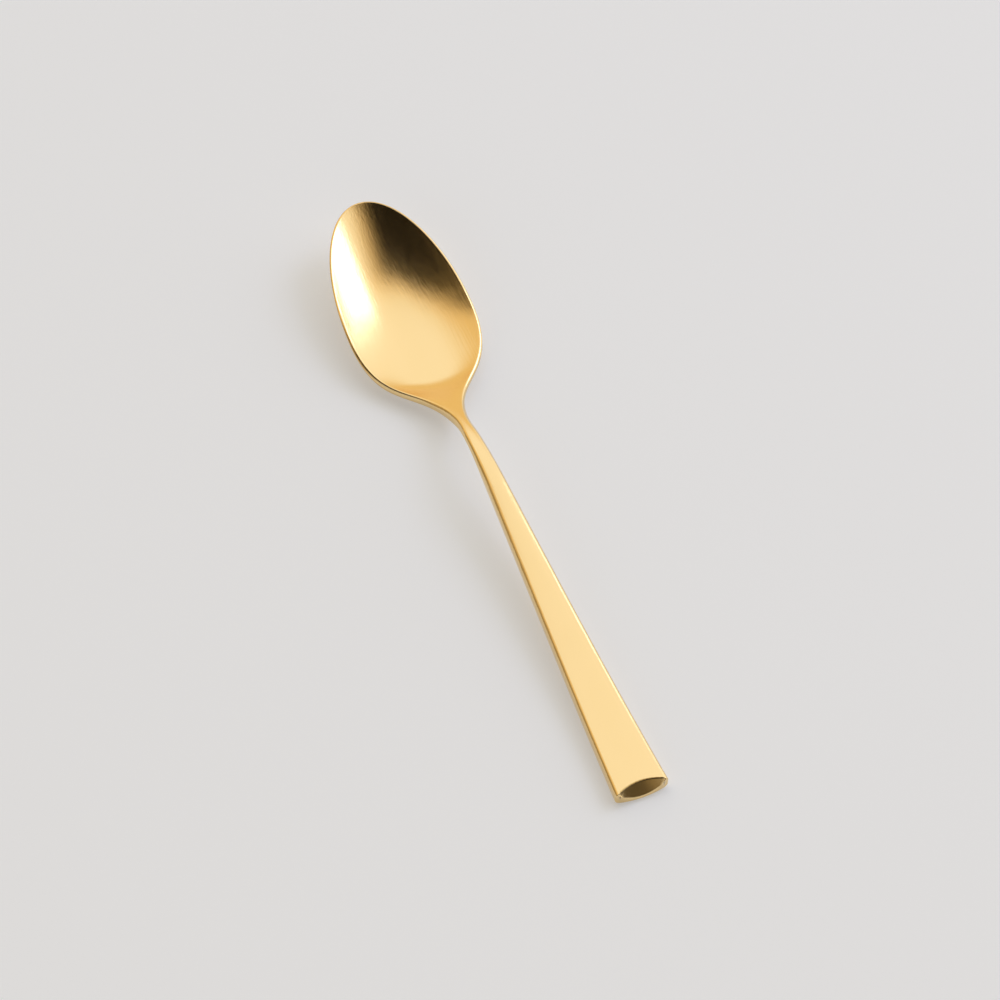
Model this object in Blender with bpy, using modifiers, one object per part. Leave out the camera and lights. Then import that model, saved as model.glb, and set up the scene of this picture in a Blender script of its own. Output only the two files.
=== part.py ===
"""Coffee spoon: one forged piece, with a dished bowl, a cranked neck and a tapered square-ended handle.

The spoon lies as on a table. +X runs along it towards the tip of the bowl, +Y across it, +Z up.
The origin is at the middle of its length, on the table.
"""
import math

import bmesh
import bpy
import numpy as np

MM = 0.001

# Plan view: lengths along the spoon, from the tail to the tip
HANDLE_LENGTH = 80.5 * MM  # tail to the slimmest place of the neck
SHOULDER_LENGTH = 27.5 * MM  # slimmest place of the neck to the widest place of the bowl
NOSE_LENGTH = 27.0 * MM  # widest place of the bowl to its tip

# Plan view: widths, and how they flow into each other
TAIL_WIDTH = 9.9 * MM
NECK_WIDTH = 2.65 * MM
BOWL_WIDTH = 24.6 * MM
TAPER_POWER = 1.1  # 1 is a straight taper, more eases it into the neck
NECK_SWEEP = 14.8 * MM  # length of the curve's pull at the neck
SHOULDER_SWEEP = 16.3 * MM  # length of the curve's pull at the widest place

# Side view of the handle and the neck
HANDLE_THICKNESS = 2.9 * MM
RISE_EASE = 0.6  # 0 lifts the handle as a parabola, more lifts it sooner and levels it towards the bend
CRANK_FROM_NECK = 15.8 * MM  # start of the bend down to the bowl, measured back from the slimmest place
CRANK_HEIGHT = 5.0 * MM  # underside of the handle at the start of the bend
NECK_EDGE = 2.1 * MM  # height of the neck's sides
NECK_FADE = 38.0 * MM  # how far the neck's tall edge runs on along the bowl

# Side view of the bowl
RAMP_FROM_TIP = 38.2 * MM  # foot of the steep ramp from the neck, where the level floor starts
RAMP_START_SWEEP = 18.5 * MM  # length of the ramp's pull at the handle
RAMP_END_SWEEP = 5.0 * MM  # length of the ramp's pull at its foot
HEEL_FROM_TIP = 34.5 * MM  # end of the level floor, on whose underside the bowl rests
RIM_START_SWEEP = 19.9 * MM  # length of the edge's pull at the handle
RIM_END_SWEEP = 13.8 * MM  # length of the edge's pull where the rim turns straight
BOWL_RADIUS = 73.5 * MM  # curve of the dish along the spoon
DISH_DEPTH = 3.2 * MM  # flat rim to floor at the widest place
BOWL_WALL = 1.2 * MM  # floor thickness at the heel
RIM_THICKNESS = 0.8 * MM

# Edges
CROWN = 0.15 * MM  # how far the handle's face stands proud in its middle
FACE_EDGE_RADIUS = 0.75 * MM  # along both sides of the handle's face
BACK_EDGE_RADIUS = 0.8 * MM  # along both sides of the handle's back
LIP_WIDTH = 0.45 * MM  # rounded lip of the bowl
WIDTH_SHARE = 0.6  # most that a rounded edge takes of the half-width
HEIGHT_SHARE = 0.48  # most that a rounded edge takes of the edge's height

# Tail
TAIL_FACET_LENGTH = 1.25 * MM  # sloping facet at the end of the handle's face
TAIL_FACET_ANGLE = math.radians(54.0)
TAIL_BULGE = 0.7 * MM  # how far the end stands out in its middle
TAIL_EDGE_RADIUS = 0.2 * MM
TAIL_LIFT = 0.25 * MM  # how far the underside rises towards the very end

# How finely each stretch is divided
HANDLE_STEPS = 10
CRANK_STEPS = 7
SHOULDER_STEPS = 15
NOSE_STEPS = 14
FACE_STEPS = 9  # middle line to edge, on the face and on the back
EDGE_STEPS = 4  # around a rounded edge
TAIL_EDGE_STEPS = 3
BEND_STEPS = 400  # along the bend of a side line
WELD = 0.002 * MM
SHARP_ANGLE = math.radians(32.0)

GOLD = (0.86, 0.60, 0.25, 1.0)
ROUGHNESS = 0.28

LENGTH = HANDLE_LENGTH + SHOULDER_LENGTH + NOSE_LENGTH
CRANK_X = HANDLE_LENGTH - CRANK_FROM_NECK
RAMP_X = LENGTH - RAMP_FROM_TIP
HEEL_X = LENGTH - HEEL_FROM_TIP
WIDEST_X = HANDLE_LENGTH + SHOULDER_LENGTH
CRANK_SLOPE = CRANK_HEIGHT * (2.0 - RISE_EASE) / CRANK_X


def bezier(start, start_pull, end_pull, end, u):
    """Cubic curve from start to end, drawn towards the two pulls."""
    v = 1.0 - u
    return v**3 * start + 3.0 * v**2 * u * start_pull + 3.0 * v * u**2 * end_pull + u**3 * end


def smooth(u):
    """0 before the stretch, 1 after it, level at both ends."""
    u = np.clip(u, 0.0, 1.0)
    return u**2 * (3.0 - 2.0 * u)


def outline():
    """Plan outline as stations along the spoon: x and half-width."""
    half_tail = TAIL_WIDTH / 2.0
    half_neck = NECK_WIDTH / 2.0
    half_bowl = BOWL_WIDTH / 2.0

    tail_x = TAIL_FACET_LENGTH + TAIL_EDGE_RADIUS + TAIL_BULGE
    straight = np.linspace(tail_x, CRANK_X, HANDLE_STEPS, endpoint=False)
    bend = np.linspace(CRANK_X, HANDLE_LENGTH, CRANK_STEPS, endpoint=False)
    handle_x = np.concatenate(([0.0], straight, bend))
    to_neck = 1.0 - handle_x / HANDLE_LENGTH
    handle_w = half_neck + (half_tail - half_neck) * to_neck**TAPER_POWER

    u = np.linspace(0.0, 1.0, SHOULDER_STEPS, endpoint=False)
    shoulder_x = bezier(HANDLE_LENGTH, HANDLE_LENGTH + NECK_SWEEP, WIDEST_X - SHOULDER_SWEEP, WIDEST_X, u)
    shoulder_w = bezier(half_neck, half_neck, half_bowl, half_bowl, u)

    turn = np.linspace(0.0, math.pi / 2.0, NOSE_STEPS + 1)
    nose_x = WIDEST_X + NOSE_LENGTH * np.sin(turn)
    nose_w = half_bowl * np.cos(turn)
    nose_w[-1] = 0.0

    return np.concatenate((handle_x, shoulder_x, nose_x)), np.concatenate((handle_w, shoulder_w, nose_w))


def outline_normals(x, w):
    """Outward direction of the outline in plan, square to its run."""
    run = np.gradient(x)
    rise = np.gradient(w)
    run[-1] = 0.0
    size = np.hypot(run, rise)
    return -rise / size, run / size


def handle_rise(x):
    """Underside of the handle: level at the tail, then curving up to the bend."""
    u = x / CRANK_X
    return CRANK_HEIGHT * u**2 * (1.0 + RISE_EASE * (1.0 - u))


def bend_down(x, start_z, start_sweep, end_x, end_z, end_slope, end_sweep):
    """Bend from the end of the handle at height start_z down to a place of the bowl."""
    u = np.linspace(0.0, 1.0, BEND_STEPS)
    bend_x = bezier(CRANK_X, CRANK_X + start_sweep, end_x - end_sweep, end_x, u)
    start_pull = start_z + CRANK_SLOPE * start_sweep
    end_pull = end_z - end_slope * end_sweep
    return np.interp(x, bend_x, bezier(start_z, start_pull, end_pull, end_z, u))


def dish_arc(x):
    """Rise of the dish from the heel to the tip."""
    past_heel = np.clip(x - HEEL_X, 0.0, None)
    return BOWL_RADIUS - np.sqrt(BOWL_RADIUS**2 - past_heel**2)


def pick_stretch(x, handle, bend, bowl_x, bowl):
    """The line of the handle, of the bend or, from bowl_x on, of the bowl, whichever x lies in."""
    return np.where(x < CRANK_X, handle, np.where(x < bowl_x, bend, bowl))


def face_line(x):
    """Middle of the handle's face and of the dish's floor."""
    handle = handle_rise(x) + HANDLE_THICKNESS
    start_z = CRANK_HEIGHT + HANDLE_THICKNESS
    bend = bend_down(x, start_z, RAMP_START_SWEEP, RAMP_X, BOWL_WALL, 0.0, RAMP_END_SWEEP)
    return pick_stretch(x, handle, bend, RAMP_X, BOWL_WALL + dish_arc(x))


def back_line(x):
    """Middle of the underside; the wall thins from the heel to the rim at the tip."""
    past_heel = np.clip((x - HEEL_X) / HEEL_FROM_TIP, 0.0, None)
    thinning = (BOWL_WALL - RIM_THICKNESS) * past_heel**2
    bend = bend_down(x, CRANK_HEIGHT, RAMP_START_SWEEP, RAMP_X, 0.0, 0.0, RAMP_END_SWEEP)
    return pick_stretch(x, handle_rise(x), bend, RAMP_X, dish_arc(x) + thinning)


def edge_line(x):
    """Edges of the face: just under the handle's crown, down the neck, then the bowl's flat sloping rim."""
    tip_x = LENGTH - LIP_WIDTH
    tip_z = face_line(tip_x)
    slope = (tip_z - face_line(WIDEST_X) - DISH_DEPTH) / (tip_x - WIDEST_X)
    rim = tip_z + slope * (x - tip_x)

    handle = handle_rise(x) + HANDLE_THICKNESS - CROWN
    rim_z = tip_z + slope * (HEEL_X - tip_x)
    start_z = CRANK_HEIGHT + HANDLE_THICKNESS - CROWN
    bend = bend_down(x, start_z, RIM_START_SWEEP, HEEL_X, rim_z, slope, RIM_END_SWEEP)
    return pick_stretch(x, handle, bend, HEEL_X, rim)


def edge_height(x):
    """Height of the sides: the handle's, then the neck's, fading into the rim's."""
    handle = HANDLE_THICKNESS - CROWN
    to_neck = smooth((x - CRANK_X) / CRANK_FROM_NECK)
    along_bowl = smooth((x - HANDLE_LENGTH) / NECK_FADE)
    return handle + (NECK_EDGE - handle) * to_neck + (RIM_THICKNESS - NECK_EDGE) * along_bowl


def bend_across(rise, half_width):
    """Parabola that climbs by rise from the middle to the half-width; the tip takes its neighbour's."""
    bend = rise[:-1] / half_width[:-1] ** 2
    return np.append(bend, bend[-1])


def rounded(inner, corner, outer):
    """Points of a quarter-round arc from inner to outer that touches the lines to the corner."""
    u = np.linspace(0.0, 1.0, EDGE_STEPS + 1)[None, :]
    weight = math.sqrt(0.5)
    a = (1.0 - u) ** 2
    b = 2.0 * weight * u * (1.0 - u)
    c = u**2
    return (a * inner[:, None] + b * corner[:, None] + c * outer[:, None]) / (a + b + c)


def slope_along(line, x):
    """Slope of a side line at x."""
    step = WELD
    return (line(x + step) - line(x - step)) / (2.0 * step)


def half_sections():
    """Left half of every section, from the middle of the face round the edge to the middle of the back."""
    x, w = outline()
    nx, ny = outline_normals(x, w)
    to_bowl = smooth((x - CRANK_X) / (WIDEST_X - CRANK_X))
    reach = WIDTH_SHARE * np.where(x < WIDEST_X, w, BOWL_WIDTH / 2.0)
    reach = np.minimum(reach, HEIGHT_SHARE * edge_height(x))
    lip = np.minimum(FACE_EDGE_RADIUS + (LIP_WIDTH - FACE_EDGE_RADIUS) * to_bowl, reach)
    heel_lip = np.minimum(BACK_EDGE_RADIUS + (LIP_WIDTH - BACK_EDGE_RADIUS) * to_bowl, reach)

    # Face: a parabola across, hollow in the bowl and gently proud on the handle
    face_x = x - lip * nx
    face_w = w - lip * ny
    floor = face_line(face_x)
    edge_z = edge_line(face_x)
    face_bend = bend_across(edge_z - floor, face_w)

    # Back: the same kind of parabola, set below the face's edge by the height of the side
    back_x = x - heel_lip * nx
    back_w = w - heel_lip * ny
    belly = back_line(back_x)
    under_edge = edge_z - edge_height(x)
    under_edge[-1] = belly[-1]
    back_bend = bend_across(under_edge - belly, back_w)

    # Slopes across the edge, so that the rounded edge runs on from the face and the back
    face_slope = nx * slope_along(face_line, face_x) + ny * 2.0 * face_bend * face_w
    back_slope = nx * slope_along(back_line, back_x) + ny * 2.0 * back_bend * back_w
    out_z = edge_z + lip * face_slope
    low_z = under_edge + heel_lip * back_slope
    drop = np.minimum(lip, HEIGHT_SHARE * (out_z - low_z))
    climb = np.minimum(heel_lip, HEIGHT_SHARE * (out_z - low_z))

    zero = np.zeros_like(x)
    inset_top = rounded(lip, zero, zero)
    z_top = rounded(edge_z, out_z, out_z - drop)
    inset_low = rounded(zero, zero, heel_lip)
    z_low = rounded(low_z + climb, low_z, under_edge)

    outward = np.linspace(0.0, 1.0, FACE_STEPS + 1)[None, :-1]
    inward = outward[:, ::-1]
    face_y = face_w[:, None] * outward
    back_y = back_w[:, None] * inward
    xs = np.hstack((
        np.repeat(face_x[:, None], FACE_STEPS, axis=1),
        x[:, None] - inset_top * nx[:, None],
        x[:, None] - inset_low * nx[:, None],
        np.repeat(back_x[:, None], FACE_STEPS, axis=1),
    ))
    ys = np.hstack((face_y, w[:, None] - inset_top * ny[:, None], w[:, None] - inset_low * ny[:, None], back_y))
    zs = np.hstack((
        floor[:, None] + face_bend[:, None] * face_y**2,
        z_top,
        z_low,
        belly[:, None] + back_bend[:, None] * back_y**2,
    ))
    return np.stack((xs, ys, zs), axis=2)


def tail_rings(end, start):
    """Rings that close the tail: edge of the sloping facet, foot of the facet, rounded edge of the end.

    end and start are the plain sections at the tail and just before the facet. Each ring follows the
    straight lines between them.
    """
    rise = math.tan(TAIL_FACET_ANGLE)
    facet_foot = HANDLE_THICKNESS - TAIL_FACET_LENGTH * rise
    end = end.copy()
    end[:, 2] += TAIL_LIFT * (end[0, 2] - end[:, 2]) / HANDLE_THICKNESS
    run = start - end
    half = TAIL_WIDTH / 2.0
    end_x = TAIL_BULGE * (end[:, 1] / half) ** 2
    first_x = end_x + TAIL_EDGE_RADIUS

    cut = (end[:, 2] - facet_foot) / (rise * run[:, 0] - run[:, 2])
    reach = np.maximum(cut, first_x / run[:, 0])
    crest = end + reach[:, None] * run

    foot = end + (first_x / run[:, 0])[:, None] * run
    foot[:, 2] = np.minimum(foot[:, 2], facet_foot + first_x * rise)

    middle = 0.5 * (foot[0, 2] + foot[-1, 2])
    tall = 0.5 * (foot[0, 2] - foot[-1, 2])
    rings = [crest, foot]
    for k in range(1, TAIL_EDGE_STEPS + 1):
        angle = 0.5 * math.pi * k / TAIL_EDGE_STEPS
        inset = TAIL_EDGE_RADIUS * (1.0 - math.cos(angle))
        ring = foot.copy()
        ring[:, 0] = first_x - TAIL_EDGE_RADIUS * math.sin(angle)
        ring[:, 1] = foot[:, 1] * (1.0 - inset / half)
        ring[:, 2] = middle + (foot[:, 2] - middle) * (1.0 - inset / tall)
        rings.append(ring)
    return np.array(rings[::-1])


def spoon_half():
    """Mesh of the left half, open at the middle plane."""
    plain = half_sections()
    sections = np.concatenate((tail_rings(plain[0], plain[1]), plain[1:]))
    sections[:, 0, 1] = 0.0
    sections[:, -1, 1] = 0.0
    sections[..., 0] -= LENGTH / 2.0

    around = sections.shape[1]
    mesh = bmesh.new()
    verts = [[mesh.verts.new(point) for point in ring] for ring in sections]
    for ring, following in zip(verts, verts[1:]):
        for k in range(around - 1):
            mesh.faces.new((ring[k], ring[k + 1], following[k + 1], following[k]))

    # The end is closed by joining each point of the face with the one below it on the back
    end = verts[0]
    for k in range(around // 2 - 1):
        mesh.faces.new((end[k], end[around - 1 - k], end[around - 2 - k], end[k + 1]))

    bmesh.ops.remove_doubles(mesh, verts=mesh.verts, dist=WELD)
    bmesh.ops.recalc_face_normals(mesh, faces=mesh.faces)
    data = bpy.data.meshes.new("spoon")
    mesh.to_mesh(data)
    mesh.free()
    return data


def gold_finish():
    """Satin gold-coloured steel."""
    material = bpy.data.materials.new("satin_gold")
    material.use_nodes = True
    shader = material.node_tree.nodes["Principled BSDF"]
    shader.inputs["Base Color"].default_value = GOLD
    shader.inputs["Metallic"].default_value = 1.0
    shader.inputs["Roughness"].default_value = ROUGHNESS
    return material


def build():
    """Mirror the half across the middle plane and shade it."""
    for old in list(bpy.data.objects):
        bpy.data.objects.remove(old)
    group = bpy.data.collections.new("coffee_spoon")
    bpy.context.scene.collection.children.link(group)

    data = spoon_half()
    data.shade_smooth()
    data.set_sharp_from_angle(angle=SHARP_ANGLE)
    data.materials.append(gold_finish())
    spoon = bpy.data.objects.new("spoon", data)
    group.objects.link(spoon)

    mirror = spoon.modifiers.new("both_sides", "MIRROR")
    mirror.use_axis = (False, True, False)
    mirror.use_clip = True
    mirror.merge_threshold = WELD


build()
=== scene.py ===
"""Looks of the coffee spoon: one fine surface over the forging, its satin gold finish, light and camera.

Metres, +X along the spoon to the tip of the bowl, +Y across it, +Z up, with the table at z = 0.
"""
import math

import bmesh
import bpy
import numpy as np
from mathutils import Matrix, Vector


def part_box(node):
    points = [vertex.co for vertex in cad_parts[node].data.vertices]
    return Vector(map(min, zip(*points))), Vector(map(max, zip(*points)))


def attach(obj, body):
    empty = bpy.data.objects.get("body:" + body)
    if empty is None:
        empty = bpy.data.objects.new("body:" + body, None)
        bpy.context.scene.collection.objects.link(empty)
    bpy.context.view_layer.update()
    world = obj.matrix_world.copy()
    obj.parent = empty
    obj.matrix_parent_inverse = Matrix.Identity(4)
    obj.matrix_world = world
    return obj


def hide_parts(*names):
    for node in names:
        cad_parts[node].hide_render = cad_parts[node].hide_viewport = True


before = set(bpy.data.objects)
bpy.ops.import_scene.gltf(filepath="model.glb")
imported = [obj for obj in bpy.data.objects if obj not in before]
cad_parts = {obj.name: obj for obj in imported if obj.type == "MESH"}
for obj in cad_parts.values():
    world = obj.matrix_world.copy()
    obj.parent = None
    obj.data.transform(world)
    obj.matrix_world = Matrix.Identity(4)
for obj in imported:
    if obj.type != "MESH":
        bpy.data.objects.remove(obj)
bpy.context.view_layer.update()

MM = 0.001

# Overall size, from the forging itself
LOW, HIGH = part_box("spoon")
LENGTH = HIGH.x - LOW.x
BOWL_WIDTH = HIGH.y - LOW.y

# Plan view
SHOULDER_LENGTH = 27.5 * MM
NOSE_LENGTH = 27.0 * MM
TAIL_WIDTH = 9.9 * MM
NECK_WIDTH = 2.65 * MM
TAPER_POWER = 1.1
NECK_SWEEP = 14.8 * MM
SHOULDER_SWEEP = 16.3 * MM

# Side view of the handle and the neck
HANDLE_THICKNESS = 2.9 * MM
RISE_EASE = 0.6
CRANK_FROM_NECK = 15.8 * MM
CRANK_HEIGHT = 5.0 * MM
NECK_EDGE = 2.1 * MM
NECK_FADE = 38.0 * MM

# Side view of the bowl
RAMP_FROM_TIP = 38.2 * MM
RAMP_START_SWEEP = 18.5 * MM
RAMP_END_SWEEP = 5.0 * MM
HEEL_FROM_TIP = 34.5 * MM
RIM_START_SWEEP = 19.9 * MM
RIM_END_SWEEP = 13.8 * MM
BOWL_RADIUS = 73.5 * MM
DISH_DEPTH = 3.2 * MM
BOWL_WALL = 1.2 * MM
RIM_THICKNESS = 0.8 * MM

# Edges and tail
CROWN = 0.15 * MM
FACE_EDGE_RADIUS = 0.75 * MM
BACK_EDGE_RADIUS = 0.8 * MM
LIP_WIDTH = 0.45 * MM
WIDTH_SHARE = 0.6
HEIGHT_SHARE = 0.48
LIP_BEVEL = 0.65  # outer share of the bowl's lip that slopes outwards
TAIL_REACH = 2.6 * MM  # from the end to the first plain section
TAIL_BULGE = 0.7 * MM
TAIL_EDGE_RADIUS = 0.2 * MM
TAIL_LIFT = 0.25 * MM
FACET_ANGLE = math.radians(48.5)
FACET_CREST = 1.8 * MM  # how far the facet's upper edge reaches from the end, in the middle
FACET_ARCH = 1.15 * MM  # how much less at its corners
FACET_TWIST = 0.6  # how much steeper, as rise over run, at its corners
FACET_SOFTENING = 0.3 * MM  # rounding of the facet's upper edge

# Fineness of the surface
HANDLE_STEPS = 70
CRANK_STEPS = 40
SHOULDER_STEPS = 90
NOSE_STEPS = 80
FACE_STEPS = 36
EDGE_STEPS = 9
TAIL_EDGE_STEPS = 5
SOFTENING_STEPS = 7
BEND_STEPS = 2000
WELD = 0.0005 * MM
CREASE = 0.06 * MM  # strip beside a crease that keeps its shading narrow
SLOPE_STEP = 0.002 * MM

# Finish
GOLD_DEEP = (0.845, 0.615, 0.288, 1.0)
GOLD_PALE = (0.875, 0.652, 0.332, 1.0)
SATIN_ROUGHNESS = 0.19
WEAR_REACH = 0.30 * MM  # how far the polish of the edges fades inwards
BRUSH_FINE = (30.0, 5200.0, 2600.0)  # brush lines per metre along, across and up
BRUSH_BROAD = (8.0, 2600.0, 1300.0)
BRUSH_DETAIL = 2.0
BRUSH_DEPTH = 0.024 * MM
CLOUDS = (90.0, 160.0, 160.0)  # soft patches per metre
CLOUD_DETAIL = 1.0
NOISE_MEAN = 0.5
CLOUD_TINT, BROAD_TINT, FINE_TINT = 0.5, 0.35, 0.15  # share of each in the colour
BROAD_ROUGHNESS, FINE_ROUGHNESS, POLISH_ROUGHNESS = 0.08, 0.05, 0.06
BROAD_RELIEF, FINE_RELIEF = 0.55, 0.45  # share of each in the relief

# Table top
FLOOR_HALF = 3.0
FLOOR_COLOUR = (0.942, 0.952, 0.968, 1.0)
FLOOR_ROUGHNESS = 0.9
FLOOR_GLOSS = 0.1
FLOOR_GLOW = 0.32  # share of its own colour that the table shows besides the light that falls on it

# Colours of the light
WHITE = (1.0, 1.0, 1.0, 1.0)
WARM = (1.0, 0.79, 0.48, 1.0)  # the dim room
AMBER = (0.84, 0.65, 0.34, 1.0)  # the white wall's light low down and to the left
DAYLIGHT = (0.80, 0.90, 1.30)  # the window lamp

# World: strengths, tilts and soft edges. An edge gives where it starts and where it is complete, as the
# share of a direction that points ahead, to the right or up.
WALL_LIGHT = 1.15
WALL_TILT_UP = 0.15
WALL_TILT_RIGHT = 0.40
WALL_EDGE = (-0.04, 0.04)
WALL_LEFT_EDGE = (-0.90, -0.66)
SIDE_EDGE = (0.05, 0.54)
SIDE_BACK_EDGE = (-0.35, -0.05)
AMBER_TOP_EDGE = (0.62, 0.30)
AMBER_RIGHT_EDGE = (0.45, 0.15)
AMBER_LEFT_EDGE = (-0.25, -0.60)
AMBER_BACK_EDGE = (-0.45, -0.15)
PLAIN_EDGE = (0.0, 0.16)  # where the room's warm tint gives way
PLAIN_RIGHT_EDGE = (0.25, 0.60)
PLAIN_BACK_EDGE = (-0.60, -0.35)
CEILING_LIGHT = 0.01
CEILING_EDGE = (0.80, 0.45)
ROOM_LIGHT = 0.25
ROOM_AHEAD_LIGHT = 0.22
ROOM_AHEAD_EDGE = (-0.50, 0.20)
BEHIND_LIGHT = 0.40
BEHIND_TILT_LEFT = 0.40
BEHIND_EDGE = (-0.20, -0.45)
BEHIND_TOP_EDGE = (0.52, 0.36)
BEHIND_RIGHT_EDGE = (0.22, 0.02)
SCREEN_SHADE = 0.16
SCREEN_EDGE = (0.38, 0.52)
SCREEN_BACK_EDGE = (-0.25, -0.45)
SCREEN_FOOT_EDGE = (-0.10, 0.05)

# Window lamp: square, placed by degrees to the right of straight ahead and above the table
WINDOW_HEADING = math.radians(55.0)
WINDOW_ELEVATION = math.radians(38.5)
WINDOW_DISTANCE = 1.2
WINDOW_SIZE = 0.50
WINDOW_RADIANCE = 2.6

# View: heading and height of the eye over the table, seen from the middle of the picture
VIEW_HEADING = math.radians(157.77)
VIEW_ELEVATION = math.radians(54.0)
VIEW_DISTANCE = 630.5 * MM
VIEW_AIM = Vector((-0.40, -1.16, 0.05)) * MM
LENS = 126.0
SENSOR = 36.0
CLIP_START = 10.0 * MM

HANDLE_LENGTH = LENGTH - SHOULDER_LENGTH - NOSE_LENGTH
CRANK_X = HANDLE_LENGTH - CRANK_FROM_NECK
RAMP_X = LENGTH - RAMP_FROM_TIP
HEEL_X = LENGTH - HEEL_FROM_TIP
WIDEST_X = HANDLE_LENGTH + SHOULDER_LENGTH
CRANK_SLOPE = CRANK_HEIGHT * (2.0 - RISE_EASE) / CRANK_X


def bezier(start, start_pull, end_pull, end, u):
    """Cubic curve: (1-u)^3 start + 3(1-u)^2 u start_pull + 3(1-u) u^2 end_pull + u^3 end."""
    v = 1.0 - u
    return v**3 * start + 3.0 * v**2 * u * start_pull + 3.0 * v * u**2 * end_pull + u**3 * end


def smooth(u):
    """3u^2 - 2u^3, held at 0 before the stretch and at 1 after it."""
    u = np.clip(u, 0.0, 1.0)
    return u**2 * (3.0 - 2.0 * u)


def outline():
    """Stations along the spoon and the half-width at each.

    The handle's half-width falls as a power of the way to the neck, the shoulder is a cubic that starts
    and ends level, and the nose is a quarter of an ellipse.
    """
    half_tail = TAIL_WIDTH / 2.0
    half_neck = NECK_WIDTH / 2.0
    half_bowl = BOWL_WIDTH / 2.0

    straight = np.linspace(TAIL_REACH, CRANK_X, HANDLE_STEPS, endpoint=False)
    bend = np.linspace(CRANK_X, HANDLE_LENGTH, CRANK_STEPS, endpoint=False)
    handle_x = np.concatenate(([0.0], straight, bend))
    to_neck = 1.0 - handle_x / HANDLE_LENGTH
    handle_w = half_neck + (half_tail - half_neck) * to_neck**TAPER_POWER

    u = np.linspace(0.0, 1.0, SHOULDER_STEPS, endpoint=False)
    shoulder_x = bezier(HANDLE_LENGTH, HANDLE_LENGTH + NECK_SWEEP, WIDEST_X - SHOULDER_SWEEP, WIDEST_X, u)
    shoulder_w = bezier(half_neck, half_neck, half_bowl, half_bowl, u)

    turn = np.linspace(0.0, math.pi / 2.0, NOSE_STEPS + 1)
    nose_x = WIDEST_X + NOSE_LENGTH * np.sin(turn)
    nose_w = half_bowl * np.cos(turn)
    nose_w[-1] = 0.0
    return np.concatenate((handle_x, shoulder_x, nose_x)), np.concatenate((handle_w, shoulder_w, nose_w))


def outline_normals(x, w):
    """Outward direction in plan: the outline's run turned a quarter, and straight ahead at the tip."""
    run = np.gradient(x)
    rise = np.gradient(w)
    run[-1] = 0.0
    size = np.hypot(run, rise)
    return -rise / size, run / size


def handle_rise(x):
    """Underside of the handle: height u^2 (1 + ease (1 - u)), so it leaves the table level."""
    u = x / CRANK_X
    return CRANK_HEIGHT * u**2 * (1.0 + RISE_EASE * (1.0 - u))


def bend_down(x, start_z, start_sweep, end_x, end_z, end_slope, end_sweep):
    """Side line from the handle to a place of the bowl: a cubic that takes on the slope of both."""
    u = np.linspace(0.0, 1.0, BEND_STEPS)
    bend_x = bezier(CRANK_X, CRANK_X + start_sweep, end_x - end_sweep, end_x, u)
    start_pull = start_z + CRANK_SLOPE * start_sweep
    end_pull = end_z - end_slope * end_sweep
    return np.interp(x, bend_x, bezier(start_z, start_pull, end_pull, end_z, u))


def dish_arc(x):
    """Circular rise of the dish from the heel to the tip."""
    past_heel = np.clip(x - HEEL_X, 0.0, None)
    return BOWL_RADIUS - np.sqrt(BOWL_RADIUS**2 - past_heel**2)


def pick_stretch(x, handle, bend, bowl_x, bowl):
    """The line of the handle, of the bend or, from bowl_x on, of the bowl, whichever x lies in."""
    return np.where(x < CRANK_X, handle, np.where(x < bowl_x, bend, bowl))


def face_line(x):
    """Middle of the handle's face and of the dish's floor."""
    handle = handle_rise(x) + HANDLE_THICKNESS
    start_z = CRANK_HEIGHT + HANDLE_THICKNESS
    bend = bend_down(x, start_z, RAMP_START_SWEEP, RAMP_X, BOWL_WALL, 0.0, RAMP_END_SWEEP)
    return pick_stretch(x, handle, bend, RAMP_X, BOWL_WALL + dish_arc(x))


def back_line(x):
    """Middle of the underside; the wall thins with the square of the way from the heel to the tip."""
    past_heel = np.clip((x - HEEL_X) / HEEL_FROM_TIP, 0.0, None)
    thinning = (BOWL_WALL - RIM_THICKNESS) * past_heel**2
    bend = bend_down(x, CRANK_HEIGHT, RAMP_START_SWEEP, RAMP_X, 0.0, 0.0, RAMP_END_SWEEP)
    return pick_stretch(x, handle_rise(x), bend, RAMP_X, dish_arc(x) + thinning)


def edge_line(x):
    """Edges of the face: just under the handle's crown, down the neck, then the straight sloping rim."""
    tip_x = LENGTH - LIP_WIDTH
    tip_z = face_line(tip_x)
    slope = (tip_z - face_line(WIDEST_X) - DISH_DEPTH) / (tip_x - WIDEST_X)
    rim = tip_z + slope * (x - tip_x)

    handle = handle_rise(x) + HANDLE_THICKNESS - CROWN
    rim_z = tip_z + slope * (HEEL_X - tip_x)
    start_z = CRANK_HEIGHT + HANDLE_THICKNESS - CROWN
    bend = bend_down(x, start_z, RIM_START_SWEEP, HEEL_X, rim_z, slope, RIM_END_SWEEP)
    return pick_stretch(x, handle, bend, HEEL_X, rim)


def edge_height(x):
    """Height of the sides: the handle's, then the neck's, fading into the rim's."""
    handle = HANDLE_THICKNESS - CROWN
    to_neck = smooth((x - CRANK_X) / CRANK_FROM_NECK)
    along_bowl = smooth((x - HANDLE_LENGTH) / NECK_FADE)
    return handle + (NECK_EDGE - handle) * to_neck + (RIM_THICKNESS - NECK_EDGE) * along_bowl


def bend_across(rise, half_width):
    """Rise over half-width squared, the bend of a parabola; the tip takes its neighbour's."""
    bend = rise[:-1] / half_width[:-1] ** 2
    return np.append(bend, bend[-1])


def rounded(inner, corner, outer):
    """Quarter-round arc as a conic with weight root one half: one row of points for each station."""
    u = np.linspace(0.0, 1.0, EDGE_STEPS + 1)[None, :]
    a = (1.0 - u) ** 2
    b = math.sqrt(2.0) * u * (1.0 - u)
    c = u**2
    return (a * inner[:, None] + b * corner[:, None] + c * outer[:, None]) / (a + b + c)


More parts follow.
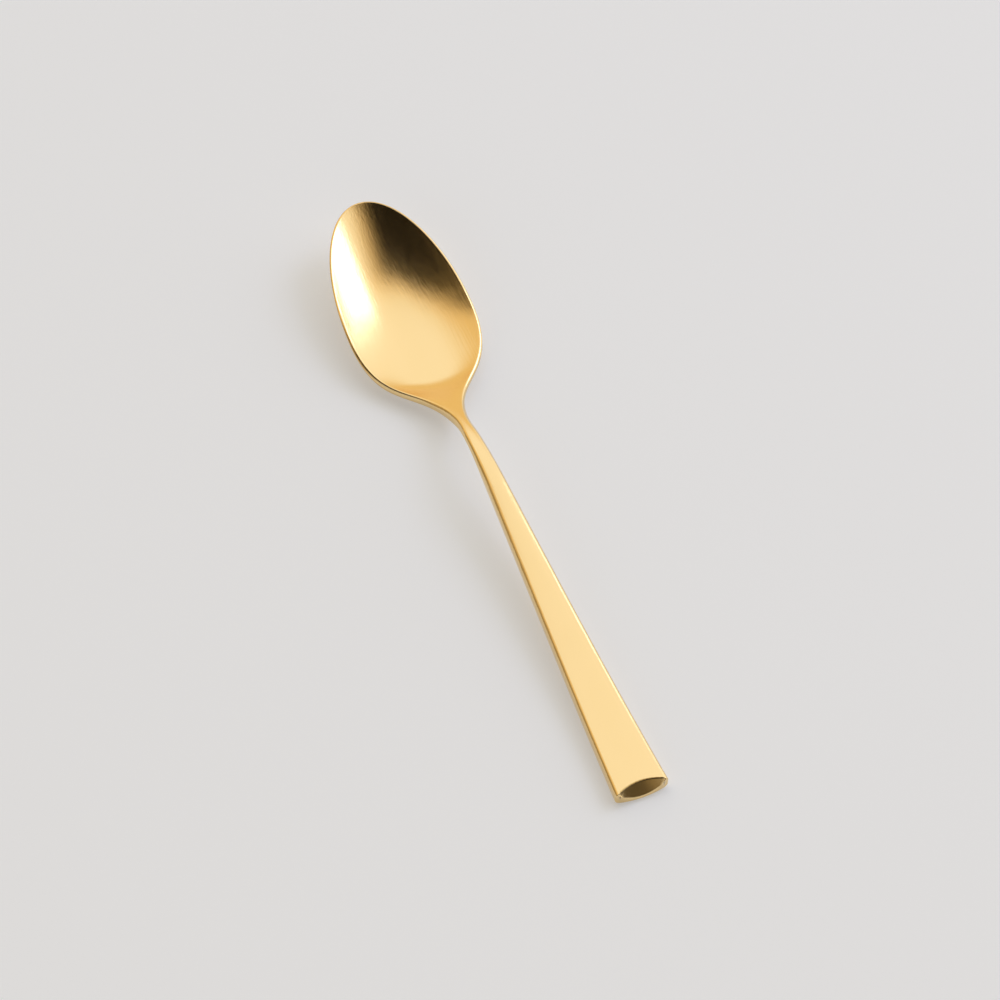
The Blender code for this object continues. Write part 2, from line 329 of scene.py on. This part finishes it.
def slope_along(line, x):
    """Slope of a side line at x, from two points close by."""
    return (line(x + SLOPE_STEP) - line(x - SLOPE_STEP)) / (2.0 * SLOPE_STEP)


def half_sections():
    """Left half of every section, stations by points round it: face parabola, lip, side, back parabola."""
    x, w = outline()
    nx, ny = outline_normals(x, w)
    to_bowl = smooth((x - CRANK_X) / (WIDEST_X - CRANK_X))
    reach = WIDTH_SHARE * np.where(x < WIDEST_X, w, BOWL_WIDTH / 2.0)
    reach = np.minimum(reach, HEIGHT_SHARE * edge_height(x))
    lip = np.minimum(FACE_EDGE_RADIUS + (LIP_WIDTH - FACE_EDGE_RADIUS) * to_bowl, reach)
    heel_lip = np.minimum(BACK_EDGE_RADIUS + (LIP_WIDTH - BACK_EDGE_RADIUS) * to_bowl, reach)

    face_x = x - lip * nx
    face_w = w - lip * ny
    floor = face_line(face_x)
    edge_z = edge_line(face_x)
    face_bend = bend_across(edge_z - floor, face_w)

    back_x = x - heel_lip * nx
    back_w = w - heel_lip * ny
    belly = back_line(back_x)
    under_edge = edge_z - edge_height(x)
    under_edge[-1] = belly[-1]
    back_bend = bend_across(under_edge - belly, back_w)

    # The rounded edges run on from the slopes of the face and the back
    face_slope = nx * slope_along(face_line, face_x) + ny * 2.0 * face_bend * face_w
    back_slope = nx * slope_along(back_line, back_x) + ny * 2.0 * back_bend * back_w
    bevel = LIP_BEVEL * to_bowl * lip
    top_z = edge_z + (lip - bevel) * face_slope
    out_z = edge_z + lip * face_slope
    low_z = under_edge + heel_lip * back_slope
    drop = np.minimum(lip, HEIGHT_SHARE * (out_z - low_z))
    climb = np.minimum(heel_lip, HEIGHT_SHARE * (out_z - low_z))

    zero = np.zeros_like(x)
    inset = np.hstack((rounded(lip, bevel, zero), rounded(zero, zero, heel_lip)))
    edge_rows = np.hstack((rounded(edge_z, top_z, out_z - drop), rounded(low_z + climb, low_z, under_edge)))

    outward = np.linspace(0.0, 1.0, FACE_STEPS + 1)[None, :-1]
    face_y = face_w[:, None] * outward
    back_y = back_w[:, None] * outward[:, ::-1]
    xs = np.hstack((
        np.repeat(face_x[:, None], FACE_STEPS, axis=1),
        x[:, None] - inset * nx[:, None],
        np.repeat(back_x[:, None], FACE_STEPS, axis=1),
    ))
    ys = np.hstack((face_y, w[:, None] - inset * ny[:, None], back_y))
    zs = np.hstack((
        floor[:, None] + face_bend[:, None] * face_y**2,
        edge_rows,
        belly[:, None] + back_bend[:, None] * back_y**2,
    ))

    # Polish of the edges: a bell curve of the distance in from the outline
    inward = np.hstack((w[:, None] - face_y, inset, w[:, None] - back_y))
    wear = np.exp(-((inward / WEAR_REACH) ** 2))
    return np.stack((xs, ys, zs, wear), axis=2)


def tail_rings(end, start):
    """Rings from the tail's end back to the plain sections, along the straight lines from end to start.

    The underside of the end is lifted in proportion to its depth under the face. The facet is
    z = foot + steepness x; its reach along the face falls and its steepness grows as y squared. Its crest is
    softened by a short parabola from a point on the face, drawn towards the crest, to a point on the facet.
    The end bulges as y squared. Its edge is a quarter circle, sheared under the facet so that it starts with
    the facet's slope. Narrow strips beside the creases keep their shading narrow.
    """
    half = TAIL_WIDTH / 2.0
    across = (end[:, 1] / half) ** 2
    steep = math.tan(FACET_ANGLE) + FACET_TWIST * across
    facet_foot = HANDLE_THICKNESS - (FACET_CREST - FACET_ARCH * across) * steep
    end = end.copy()
    end[:, 2] += TAIL_LIFT * (end[0, 2] - end[:, 2]) / HANDLE_THICKNESS
    run = start - end
    first_x = TAIL_BULGE * across + TAIL_EDGE_RADIUS
    at_first = (first_x - end[:, 0]) / run[:, 0]

    cut = (end[:, 2] - facet_foot - steep * end[:, 0]) / (steep * run[:, 0] - run[:, 2])
    crest = end + np.maximum(cut, at_first)[:, None] * run
    foot = end + at_first[:, None] * run
    foot[:, 2] = np.minimum(foot[:, 2], facet_foot + first_x * steep)

    down = foot - crest
    facet_run = np.linalg.norm(down[:, :3], axis=1)
    share = np.minimum(FACET_SOFTENING, facet_run / 2.0)
    on_facet = crest + (share / np.maximum(facet_run, WELD))[:, None] * down
    back = start - crest
    on_face = crest + (share / np.linalg.norm(back[:, :3], axis=1))[:, None] * back
    u = np.linspace(0.0, 1.0, SOFTENING_STEPS + 1)[:, None, None]
    softened = (1.0 - u) ** 2 * on_face + 2.0 * u * (1.0 - u) * crest + u**2 * on_facet
    behind = on_face + (CREASE / np.linalg.norm(back[:, :3], axis=1))[:, None] * back
    by_foot = foot - (np.minimum(CREASE, share / 2.0) / np.maximum(facet_run, WELD))[:, None] * down

    middle = 0.5 * (foot[0, 2] + foot[-1, 2])
    tall = 0.5 * (foot[0, 2] - foot[-1, 2])
    upper = np.clip((foot[:, 2] - middle) / tall, -1.0, 1.0)
    sloping = steep * smooth(facet_run / FACET_CREST)
    angle = np.linspace(0.0, math.pi / 2.0, TAIL_EDGE_STEPS + 1)[:, None]
    inset = TAIL_EDGE_RADIUS * (1.0 - np.cos(angle))
    closing = np.stack((
        first_x - TAIL_EDGE_RADIUS * np.sin(angle),
        foot[:, 1] * (1.0 - inset / half),
        foot[:, 2] - upper * inset - sloping * TAIL_EDGE_RADIUS * np.sin(angle),
        np.broadcast_to(foot[:, 3], (TAIL_EDGE_STEPS + 1, len(foot))),
    ), axis=2)
    return np.concatenate((closing[::-1], by_foot[None], softened[::-1], behind[None]))


def spoon_mesh():
    """Closed surface: the left half's rings and their mirror image, sewn round and closed at the tail."""
    plain = half_sections()
    left = np.concatenate((tail_rings(plain[0], plain[1]), plain[1:]))
    left[:, 0, 1] = 0.0
    left[:, -1, 1] = 0.0
    left[..., 0] += LOW.x
    right = left[:, -2:0:-1] * (1.0, -1.0, 1.0, 1.0)
    rings = np.concatenate((left, right), axis=1)

    count, around, _ = rings.shape
    index = np.arange(count * around).reshape(count, around)
    beside = np.roll(index, -1, axis=1)
    walls = np.stack((index[:-1], beside[:-1], beside[1:], index[1:]), axis=2).reshape(-1, 4)

    # The end is closed by joining each point of the upper edge with the one below it
    half = left.shape[1]
    upper = np.arange(half // 2 - 1)
    below = half - 1 - upper
    cap_left = np.stack((upper, below, below - 1, upper + 1), axis=1)
    cap_right = ((around - cap_left) % around)[:, ::-1]
    faces = np.concatenate((walls, cap_left, cap_right))

    mesh = bpy.data.meshes.new("satin_spoon")
    mesh.from_pydata(rings[..., :3].reshape(-1, 3), [], faces)
    polish = mesh.attributes.new("edge_polish", "FLOAT", "POINT")
    polish.data.foreach_set("value", rings[..., 3].ravel())

    # Points that fall together at the tip and along the facet are merged
    skin = bmesh.new()
    skin.from_mesh(mesh)
    bmesh.ops.remove_doubles(skin, verts=skin.verts, dist=WELD)
    bmesh.ops.recalc_face_normals(skin, faces=skin.faces)
    skin.to_mesh(mesh)
    skin.free()
    return mesh


class Shade:
    """A value in a node tree. Arithmetic on it adds Math nodes; node() adds any other node."""

    def __init__(self, tree, socket=None):
        self.tree = tree
        self.socket = socket

    def node(self, kind, settings=None, inputs=None, output=0):
        """Adds a node, first its settings, then the values or links of its sockets, and gives one output."""
        made = self.tree.nodes.new(kind)
        for name, value in (settings or {}).items():
            setattr(made, name, value)
        for name, value in (inputs or {}).items():
            if isinstance(value, Shade):
                self.tree.links.new(value.socket, made.inputs[name])
            else:
                made.inputs[name].default_value = value
        return Shade(self.tree, made.outputs[output])

    def math(self, operation, first, second):
        return self.node("ShaderNodeMath", {"operation": operation}, {0: first, 1: second})

    def __add__(self, other):
        return self.math("ADD", self, other)

    def __radd__(self, other):
        return self.math("ADD", other, self)

    def __sub__(self, other):
        return self.math("SUBTRACT", self, other)

    def __rsub__(self, other):
        return self.math("SUBTRACT", other, self)

    def __mul__(self, other):
        return self.math("MULTIPLY", self, other)

    def __rmul__(self, other):
        return self.math("MULTIPLY", other, self)

    def larger(self, other):
        return self.math("MAXIMUM", self, other)

    def smaller(self, other):
        return self.math("MINIMUM", self, other)

    def step(self, low, high):
        """0 at low, 1 at high, smooth between them."""
        return self.node(
            "ShaderNodeMapRange",
            {"interpolation_type": "SMOOTHSTEP"},
            {"Value": self, "From Min": low, "From Max": high},
        )

    def mix(self, first, second):
        """A colour between two others, the second where this value is 1."""
        inputs = {"Factor": self, 6: first, 7: second}
        return self.node("ShaderNodeMix", {"data_type": "RGBA"}, inputs, output=2)

    def dot(self, direction):
        """Length of a vector along a direction."""
        return self.node(
            "ShaderNodeVectorMath", {"operation": "DOT_PRODUCT"}, {0: self, 1: direction}, output="Value"
        )

    def grain(self, scale, detail):
        """Noise with so many grains per metre along each axis."""
        stretched = self.node("ShaderNodeVectorMath", {"operation": "MULTIPLY"}, {0: self, 1: scale})
        return self.node("ShaderNodeTexNoise", None, {"Vector": stretched, "Scale": 1.0, "Detail": detail})


def satin_gold():
    """Gold-coloured steel, brushed along the spoon and polished brighter on its edges."""
    material = bpy.data.materials.new("satin_gold_brushed")
    material.use_nodes = True
    tree = material.node_tree
    shader = tree.nodes["Principled BSDF"]
    place = Shade(tree).node("ShaderNodeTexCoord", output="Object")
    polish = Shade(tree).node("ShaderNodeAttribute", {"attribute_name": "edge_polish"}, output="Fac")

    fine = place.grain(BRUSH_FINE, BRUSH_DETAIL)
    broad = place.grain(BRUSH_BROAD, BRUSH_DETAIL)
    cloud = place.grain(CLOUDS, CLOUD_DETAIL)

    tint = CLOUD_TINT * cloud + BROAD_TINT * broad + FINE_TINT * fine
    colour = tint.mix(GOLD_DEEP, GOLD_PALE)
    brushed = BROAD_ROUGHNESS * (broad - NOISE_MEAN) + FINE_ROUGHNESS * (fine - NOISE_MEAN)
    roughness = SATIN_ROUGHNESS + brushed - POLISH_ROUGHNESS * polish
    height = FINE_RELIEF * fine + BROAD_RELIEF * broad
    lines = {"Strength": 1.0, "Distance": BRUSH_DEPTH, "Height": height}
    relief = height.node("ShaderNodeBump", None, lines)

    tree.links.new(colour.socket, shader.inputs["Base Color"])
    tree.links.new(roughness.socket, shader.inputs["Roughness"])
    tree.links.new(relief.socket, shader.inputs["Normal"])
    shader.inputs["Metallic"].default_value = 1.0
    return material


def spoon_piece():
    """The fine surface as a piece that stands for the forging."""
    mesh = spoon_mesh()
    piece = bpy.data.objects.new("satin_spoon", mesh)
    bpy.context.scene.collection.objects.link(piece)
    mesh.shade_smooth()
    mesh.materials.append(satin_gold())
    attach(piece, "root")
    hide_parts("spoon")


TOWARD_EYE = Vector((
    math.cos(VIEW_ELEVATION) * math.cos(VIEW_HEADING),
    math.cos(VIEW_ELEVATION) * math.sin(VIEW_HEADING),
    math.sin(VIEW_ELEVATION),
))
AWAY = Vector((-math.cos(VIEW_HEADING), -math.sin(VIEW_HEADING), 0.0))
RIGHT = Vector((-math.sin(VIEW_HEADING), math.cos(VIEW_HEADING), 0.0))
UP = Vector((0.0, 0.0, 1.0))


def looking(eye, target):
    """Placing of a camera or lamp at eye that faces target, upright."""
    back = (eye - target).normalized()
    side = UP.cross(back).normalized()
    over = back.cross(side)
    placing = Matrix((side, over, back)).transposed().to_4x4()
    placing.translation = eye
    return placing


def camera():
    """Camera in the place fitted to the photograph."""
    data = bpy.data.cameras.new("eye")
    data.lens = LENS
    data.sensor_width = SENSOR
    data.clip_start = CLIP_START
    eye = bpy.data.objects.new("eye", data)
    bpy.context.scene.collection.objects.link(eye)
    eye.matrix_world = looking(VIEW_AIM + VIEW_DISTANCE * TOWARD_EYE, VIEW_AIM)
    bpy.context.scene.camera = eye


def pale_floor():
    """Plain pale table top."""
    mesh = bpy.data.meshes.new("table_top")
    corners = [(FLOOR_HALF * x, FLOOR_HALF * y, 0.0) for x, y in ((-1, -1), (1, -1), (1, 1), (-1, 1))]
    mesh.from_pydata(corners, [], [(0, 1, 2, 3)])
    floor = bpy.data.objects.new("table_top", mesh)
    bpy.context.scene.collection.objects.link(floor)
    material = bpy.data.materials.new("pale_plaster")
    material.use_nodes = True
    tree = material.node_tree
    plaster = tree.nodes["Principled BSDF"]
    plaster.inputs["Base Color"].default_value = FLOOR_COLOUR
    plaster.inputs["Roughness"].default_value = FLOOR_ROUGHNESS
    plaster.inputs["Specular IOR Level"].default_value = FLOOR_GLOSS
    kinds = ("Is Camera Ray", "Is Glossy Ray", "Is Transmission Ray")
    camera_ray, mirrored, through = (Shade(tree).node("ShaderNodeLightPath", output=kind) for kind in kinds)
    seen = FLOOR_GLOW * (camera_ray + mirrored + through)
    glow = Shade(tree).node("ShaderNodeEmission", None, {"Color": FLOOR_COLOUR, "Strength": 1.0})
    plain = Shade(tree, plaster.outputs[0])
    pale = Shade(tree).node("ShaderNodeMixShader", None, {0: seen, 1: plain, 2: glow})
    tree.links.new(pale.socket, tree.nodes["Material Output"].inputs["Surface"])
    mesh.materials.append(material)


def window():
    """Soft square lamp ahead of the spoon, to the right."""
    level = math.cos(WINDOW_HEADING) * AWAY + math.sin(WINDOW_HEADING) * RIGHT
    spot = WINDOW_DISTANCE * (math.cos(WINDOW_ELEVATION) * level + math.sin(WINDOW_ELEVATION) * UP)
    data = bpy.data.lights.new("window", "AREA")
    data.shape = "SQUARE"
    data.color = DAYLIGHT
    data.size = WINDOW_SIZE
    data.energy = WINDOW_RADIANCE * math.pi * WINDOW_SIZE**2
    lamp = bpy.data.objects.new("window", data)
    bpy.context.scene.collection.objects.link(lamp)
    lamp.matrix_world = looking(spot, Vector())


def studio():
    """The room that the spoon mirrors, by directions ahead, to the right and up.

    A white wall stands beyond the spoon, its edge tilted back upwards and to the right, with a side light on
    its right. Low down and to the left its light turns amber. The rest is a dim warm room with a dark
    ceiling, a paler light low behind the eye and a dark screen to the right of that.
    """
    world = bpy.data.worlds.new("studio")
    bpy.context.scene.world = world
    world.use_nodes = True
    tree = world.node_tree
    ray = Shade(tree).node("ShaderNodeTexCoord", output="Generated")
    ahead = ray.dot(AWAY)
    aside = ray.dot(RIGHT)
    lift = ray.dot(UP)

    tilted = ahead - WALL_TILT_UP * lift - WALL_TILT_RIGHT * aside.larger(0.0)
    wall = tilted.step(*WALL_EDGE) * aside.step(*WALL_LEFT_EDGE)
    side = aside.step(*SIDE_EDGE) * ahead.step(*SIDE_BACK_EDGE)
    bright = wall.larger(side)
    low = lift.step(*AMBER_TOP_EDGE) * aside.step(*AMBER_RIGHT_EDGE)
    amber = low.larger(aside.step(*AMBER_LEFT_EDGE)) * ahead.step(*AMBER_BACK_EDGE)

    height = lift + BEHIND_TILT_LEFT * aside.smaller(0.0)
    behind = ahead.step(*BEHIND_EDGE) * height.step(*BEHIND_TOP_EDGE) * aside.step(*BEHIND_RIGHT_EDGE)
    screen = aside.step(*SCREEN_EDGE) * ahead.step(*SCREEN_BACK_EDGE) * lift.step(*SCREEN_FOOT_EDGE)
    walls = ROOM_LIGHT + ROOM_AHEAD_LIGHT * ahead.step(*ROOM_AHEAD_EDGE) - SCREEN_SHADE * screen
    room = CEILING_LIGHT + walls * lift.step(*CEILING_EDGE) + BEHIND_LIGHT * behind
    light = room + bright * (WALL_LIGHT - room)

    right = aside.step(*PLAIN_RIGHT_EDGE) * ahead.step(*PLAIN_BACK_EDGE)
    plain = tilted.step(*PLAIN_EDGE).larger(right).larger(behind)
    colour = plain.mix(WARM, amber.mix(WHITE, AMBER))
    background = tree.nodes["Background"]
    tree.links.new(colour.socket, background.inputs["Color"])
    tree.links.new(light.socket, background.inputs["Strength"])


bpy.context.scene.view_settings.view_transform = "Standard"
spoon_piece()
camera()
pale_floor()
studio()
window()
